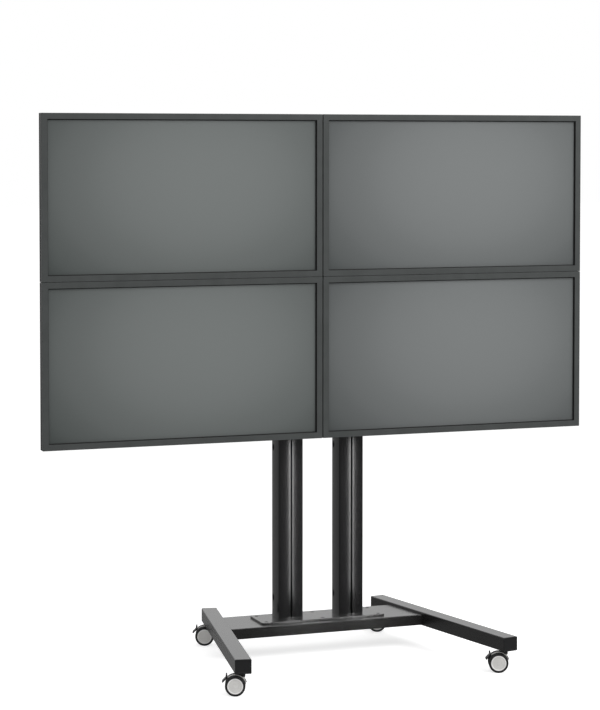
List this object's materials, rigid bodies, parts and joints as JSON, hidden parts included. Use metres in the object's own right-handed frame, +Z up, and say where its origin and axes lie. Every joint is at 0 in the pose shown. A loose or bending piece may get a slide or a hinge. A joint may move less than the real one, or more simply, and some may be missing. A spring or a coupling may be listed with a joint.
{
  "type": "mobile video wall stand",
  "caption": "Rolling stand with twin slotted columns on a splayed caster base, carrying displays in a two by two grid on hook-on rails.",
  "frame": {"origin": "on the floor, below the middle of the whole object's box", "axes": "+Z up, +X to the right of someone facing the screens, +Y towards the back of the stand"},
  "size_m": [2.129, 0.8834, 2.017],
  "materials": {
    "powder_coat": "black satin powder coat, finely textured",
    "cap_plastic": "black moulded plastic",
    "column_black": "black anodised extrusion, satin",
    "rail_steel": "black powder-coated folded steel",
    "arm_steel": "black powder-coated folded steel",
    "bezel_grey": "dark green-grey, satin",
    "screen_glass": "anti-glare coated panel, switched off",
    "cover_black": "black, fine textured",
    "stem_black": "black oxide steel",
    "caster_grey": "light grey moulded plastic with a bright hood",
    "tyre_black": "black, smooth",
    "pedal_black": "black moulded plastic"
  },
  "bodies": {
    "root": {"cross_member": "powder_coat", "base_plate": "powder_coat", "left_leg": "powder_coat", "left_leg_cap_front": "cap_plastic", "left_leg_cap_rear": "cap_plastic", "left_column": "column_black", "left_column_cap": "cap_plastic", "right_leg": "powder_coat", "right_leg_cap_front": "cap_plastic", "right_leg_cap_rear": "cap_plastic", "right_column": "column_black", "right_column_cap": "cap_plastic", "front_left_caster_stem": "stem_black", "rear_left_caster_stem": "stem_black", "front_right_caster_stem": "stem_black", "rear_right_caster_stem": "stem_black"},
    "lower_row": {"lower_rail": "rail_steel", "lower_rail_clamp_left": "rail_steel", "lower_rail_clamp_right": "rail_steel"},
    "lower_left_display": {"lower_left_bezel": "bezel_grey", "lower_left_screen": "screen_glass", "lower_left_rear_cover": "cover_black", "lower_left_arm_left": "arm_steel", "lower_left_arm_right": "arm_steel"},
    "lower_right_display": {"lower_right_bezel": "bezel_grey", "lower_right_screen": "screen_glass", "lower_right_rear_cover": "cover_black", "lower_right_arm_left": "arm_steel", "lower_right_arm_right": "arm_steel"},
    "upper_row": {"upper_rail": "rail_steel", "upper_rail_clamp_left": "rail_steel", "upper_rail_clamp_right": "rail_steel"},
    "upper_left_display": {"upper_left_bezel": "bezel_grey", "upper_left_screen": "screen_glass", "upper_left_rear_cover": "cover_black", "upper_left_arm_left": "arm_steel", "upper_left_arm_right": "arm_steel"},
    "upper_right_display": {"upper_right_bezel": "bezel_grey", "upper_right_screen": "screen_glass", "upper_right_rear_cover": "cover_black", "upper_right_arm_left": "arm_steel", "upper_right_arm_right": "arm_steel"},
    "front_left_caster": {"front_left_caster_housing": "caster_grey"},
    "front_left_wheel_fore": {"front_left_caster_wheel_fore": "tyre_black"},
    "front_left_wheel_aft": {"front_left_caster_wheel_aft": "tyre_black"},
    "front_left_pedal": {"front_left_caster_pedal": "pedal_black"},
    "rear_left_caster": {"rear_left_caster_housing": "caster_grey"},
    "rear_left_wheel_fore": {"rear_left_caster_wheel_fore": "tyre_black"},
    "rear_left_wheel_aft": {"rear_left_caster_wheel_aft": "tyre_black"},
    "rear_left_pedal": {"rear_left_caster_pedal": "pedal_black"},
    "front_right_caster": {"front_right_caster_housing": "caster_grey"},
    "front_right_wheel_fore": {"front_right_caster_wheel_fore": "tyre_black"},
    "front_right_wheel_aft": {"front_right_caster_wheel_aft": "tyre_black"},
    "front_right_pedal": {"front_right_caster_pedal": "pedal_black"},
    "rear_right_caster": {"rear_right_caster_housing": "caster_grey"},
    "rear_right_wheel_fore": {"rear_right_caster_wheel_fore": "tyre_black"},
    "rear_right_wheel_aft": {"rear_right_caster_wheel_aft": "tyre_black"},
    "rear_right_pedal": {"rear_right_caster_pedal": "pedal_black"}
  },
  "joints": [
    {"name": "lower_row_height", "type": "slide", "parent": "root", "child": "lower_row", "axis": [0, 0, 1], "range_m": [-0.15, 0]},
    {"name": "lower_left_display_shift", "type": "slide", "parent": "lower_row", "child": "lower_left_display", "axis": [1, 0, 0], "range_m": [-0.04, 0]},
    {"name": "lower_right_display_shift", "type": "slide", "parent": "lower_row", "child": "lower_right_display", "axis": [1, 0, 0], "range_m": [0, 0.04]},
    {"name": "upper_row_height", "type": "slide", "parent": "root", "child": "upper_row", "axis": [0, 0, 1], "range_m": [0, 0.1]},
    {"name": "upper_left_display_shift", "type": "slide", "parent": "upper_row", "child": "upper_left_display", "axis": [1, 0, 0], "range_m": [-0.04, 0]},
    {"name": "upper_right_display_shift", "type": "slide", "parent": "upper_row", "child": "upper_right_display", "axis": [1, 0, 0], "range_m": [0, 0.04]},
    {"name": "front_left_swivel", "type": "hinge", "parent": "root", "child": "front_left_caster", "pos_m": [-0.47993, -0.39724, 0.076], "axis": [0, 0, 1], "continuous": true},
    {"name": "front_left_wheel_fore_spin", "type": "hinge", "parent": "front_left_caster", "child": "front_left_wheel_fore", "pos_m": [-0.5006, -0.38971, 0.03569], "axis": [0.342, 0.9397, 0], "continuous": true},
    {"name": "front_left_wheel_aft_spin", "type": "hinge", "parent": "front_left_caster", "child": "front_left_wheel_aft", "pos_m": [-0.5006, -0.38971, 0.03569], "axis": [0.342, 0.9397, 0], "continuous": true},
    {"name": "front_left_brake", "type": "hinge", "parent": "front_left_caster", "child": "front_left_pedal", "pos_m": [-0.52879, -0.37945, 0.06319], "axis": [-0.342, -0.9397, 0], "range_deg": [0, 18]},
    {"name": "rear_left_swivel", "type": "hinge", "parent": "root", "child": "rear_left_caster", "pos_m": [-0.33268, 0.39724, 0.076], "axis": [0, 0, 1], "continuous": true},
    {"name": "rear_left_wheel_fore_spin", "type": "hinge", "parent": "rear_left_caster", "child": "rear_left_wheel_fore", "pos_m": [-0.35336, 0.40476, 0.03569], "axis": [0.342, 0.9397, 0], "continuous": true},
    {"name": "rear_left_wheel_aft_spin", "type": "hinge", "parent": "rear_left_caster", "child": "rear_left_wheel_aft", "pos_m": [-0.35336, 0.40476, 0.03569], "axis": [0.342, 0.9397, 0], "continuous": true},
    {"name": "rear_left_brake", "type": "hinge", "parent": "rear_left_caster", "child": "rear_left_pedal", "pos_m": [-0.38155, 0.41502, 0.06319], "axis": [-0.342, -0.9397, 0], "range_deg": [0, 18]},
    {"name": "front_right_swivel", "type": "hinge", "parent": "root", "child": "front_right_caster", "pos_m": [0.52393, -0.39724, 0.076], "axis": [0, 0, 1], "continuous": true},
    {"name": "front_right_wheel_fore_spin", "type": "hinge", "parent": "front_right_caster", "child": "front_right_wheel_fore", "pos_m": [0.50326, -0.38971, 0.03569], "axis": [0.342, 0.9397, 0], "continuous": true},
    {"name": "front_right_wheel_aft_spin", "type": "hinge", "parent": "front_right_caster", "child": "front_right_wheel_aft", "pos_m": [0.50326, -0.38971, 0.03569], "axis": [0.342, 0.9397, 0], "continuous": true},
    {"name": "front_right_brake", "type": "hinge", "parent": "front_right_caster", "child": "front_right_pedal", "pos_m": [0.47507, -0.37945, 0.06319], "axis": [-0.342, -0.9397, 0], "range_deg": [0, 18]},
    {"name": "rear_right_swivel", "type": "hinge", "parent": "root", "child": "rear_right_caster", "pos_m": [0.37668, 0.39724, 0.076], "axis": [0, 0, 1], "continuous": true},
    {"name": "rear_right_wheel_fore_spin", "type": "hinge", "parent": "rear_right_caster", "child": "rear_right_wheel_fore", "pos_m": [0.35601, 0.40476, 0.03569], "axis": [0.342, 0.9397, 0], "continuous": true},
    {"name": "rear_right_wheel_aft_spin", "type": "hinge", "parent": "rear_right_caster", "child": "rear_right_wheel_aft", "pos_m": [0.35601, 0.40476, 0.03569], "axis": [0.342, 0.9397, 0], "continuous": true},
    {"name": "rear_right_brake", "type": "hinge", "parent": "rear_right_caster", "child": "rear_right_pedal", "pos_m": [0.32782, 0.41502, 0.06319], "axis": [-0.342, -0.9397, 0], "range_deg": [0, 18]}
  ]
}
